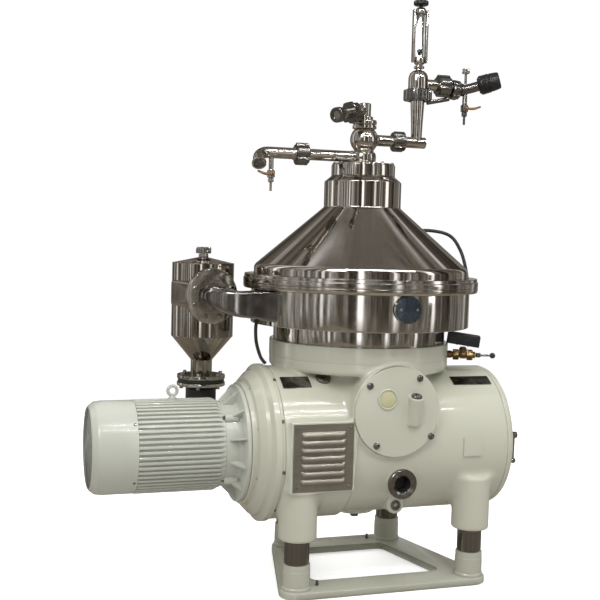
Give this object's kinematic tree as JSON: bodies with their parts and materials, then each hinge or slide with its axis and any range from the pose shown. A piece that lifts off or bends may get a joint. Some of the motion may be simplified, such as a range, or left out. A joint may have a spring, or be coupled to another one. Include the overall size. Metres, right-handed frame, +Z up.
{
  "type": "disc stack cream separator",
  "caption": "Industrial milk separator: cream housing on a damped base, side motor, steel drum with cyclone, conical hood, outlet piping and flow meter.",
  "frame": {"origin": "middle of the whole machine's length and depth, on the floor under the base frame", "axes": "+Z up, -Y the front with the round gear cover, the motor at -X and the bowl's axis vertical at X = 0.2317"},
  "size_m": [1.5325, 0.86, 2.103],
  "materials": {
    "cream_paint": "gloss enamel over smoothed castings",
    "motor_paint": "semi-gloss grey-green enamel",
    "base_paint": "semi-gloss olive grey enamel",
    "polished_steel": "polished stainless steel",
    "dark_steel": "dark turned steel",
    "machined_steel": "machined steel",
    "cast_iron": "rough cast",
    "bronze": "machined bronze",
    "brass": "satin brass",
    "black_rubber": "matt",
    "black_plastic": "satin",
    "amber_plastic": "satin",
    "sight_glass": "polished, oil behind",
    "clear_glass": "clear",
    "plate_metal": "satin, brownish"
  },
  "bodies": {
    "frame": {"base_frame": "base_paint", "clamp_ring": "polished_steel", "cream_outlet_body": "polished_steel", "cream_riser_pipe": "polished_steel", "cream_union_nut": "dark_steel", "cyclone_body": "polished_steel", "cyclone_cap": "machined_steel", "discharge_valve": "black_rubber", "drive_bell": "cream_paint", "drum_skirt": "polished_steel", "duct_flush_hose": "black_rubber", "end_cover": "cream_paint", "feed_pipe": "polished_steel", "flow_meter_frame": "polished_steel", "flow_meter_glass": "clear_glass", "foot_damper_front_left": "black_rubber", "foot_damper_front_right": "black_rubber", "foot_damper_rear_left": "black_rubber", "foot_damper_rear_right": "black_rubber", "gear_access_cover": "cream_paint", "hood": "polished_steel", "hood_cap": "polished_steel", "hood_flush_hose": "black_rubber", "hose_coupling": "black_rubber", "inspection_cover": "polished_steel", "louvre_panel": "plate_metal", "machine_housing": "cream_paint", "metered_outlet_pipe": "dark_steel", "metered_union_nut": "dark_steel", "motor_end_shield": "motor_paint", "motor_fan_cover": "motor_paint", "motor_lifting_eye": "motor_paint", "motor_stator": "motor_paint", "oil_port_ring": "machined_steel", "oil_sight_glass": "sight_glass", "regulating_valve": "polished_steel", "regulating_valve_nut": "dark_steel", "skim_outlet_body": "polished_steel", "skim_outlet_elbow": "polished_steel", "skim_union_nut": "dark_steel", "sludge_drum": "polished_steel", "water_control_box": "black_plastic", "water_manifold": "brass"},
    "bowl": {"bowl_spindle": "machined_steel", "bowl_body": "machined_steel", "bowl_lid": "machined_steel", "bowl_lock_ring": "dark_steel", "disc_stack": "polished_steel"},
    "bowl_piston": {"sliding_piston": "machined_steel"},
    "drive_shaft": {"drive_shaft": "machined_steel", "gear_wheel": "bronze", "clutch_drum": "cast_iron"},
    "motor_shaft": {"motor_rotor": "machined_steel"},
    "brake_lever": {"brake_lever": "dark_steel"},
    "skim_sample_lever": {"skim_sample_lever": "amber_plastic"},
    "cream_sample_lever": {"cream_sample_lever": "amber_plastic"},
    "cream_sample_knob": {"cream_sample_knob": "machined_steel"},
    "water_cock_lever": {"water_cock_lever": "dark_steel"},
    "flow_meter_float": {"flow_meter_float": "black_plastic"},
    "flow_meter_knob": {"flow_meter_knob": "black_plastic"}
  },
  "joints": [
    {"name": "bowl_spin", "type": "hinge", "parent": "frame", "child": "bowl", "pos_m": [0.2317, 0, 1], "axis": [0, 0, 1], "continuous": true},
    {"name": "bowl_piston_slide", "type": "slide", "parent": "bowl", "child": "bowl_piston", "axis": [0, 0, 1], "range_m": [0, 0.008]},
    {"name": "drive_shaft_spin", "type": "hinge", "parent": "frame", "child": "drive_shaft", "pos_m": [0.2317, -0.0635, 0.493], "axis": [1, 0, 0], "continuous": true},
    {"name": "motor_spin", "type": "hinge", "parent": "frame", "child": "motor_shaft", "pos_m": [-0.4683, -0.0635, 0.493], "axis": [1, 0, 0], "continuous": true},
    {"name": "brake_lever_turn", "type": "hinge", "parent": "frame", "child": "brake_lever", "pos_m": [0.7557, -0.245, 0.52], "axis": [1, 0, 0], "range_deg": [0, 60]},
    {"name": "skim_sample_lever_turn", "type": "hinge", "parent": "frame", "child": "skim_sample_lever", "pos_m": [-0.1203, -0.0208, 1.44], "axis": [0, -1, 0], "range_deg": [0, 90]},
    {"name": "cream_sample_lever_turn", "type": "hinge", "parent": "frame", "child": "cream_sample_lever", "pos_m": [0.6337, -0.0208, 1.7185], "axis": [0, 1, 0], "range_deg": [0, 90]},
    {"name": "cream_sample_knob_turn", "type": "hinge", "parent": "frame", "child": "cream_sample_knob", "pos_m": [0.6347, 0, 1.83], "axis": [0, 0, 1], "range_deg": [0, 360]},
    {"name": "water_cock_lever_turn", "type": "hinge", "parent": "frame", "child": "water_cock_lever", "pos_m": [0.63339, -0.17884, 0.806], "axis": [0, 0, 1], "range_deg": [0, 90]},
    {"name": "flow_meter_float_slide", "type": "slide", "parent": "frame", "child": "flow_meter_float", "axis": [0, 0, 1], "range_m": [0, 0.11]},
    {"name": "flow_meter_knob_turn", "type": "hinge", "parent": "frame", "child": "flow_meter_knob", "pos_m": [0.4417, 0, 2.09], "axis": [0, 0, 1], "range_deg": [0, 360]}
  ],
  "couplings": [
    {"joint": "drive_shaft_spin", "follows": "bowl_spin", "ratio": 0.22222},
    {"joint": "motor_spin", "follows": "bowl_spin", "ratio": 0.22222}
  ]
}
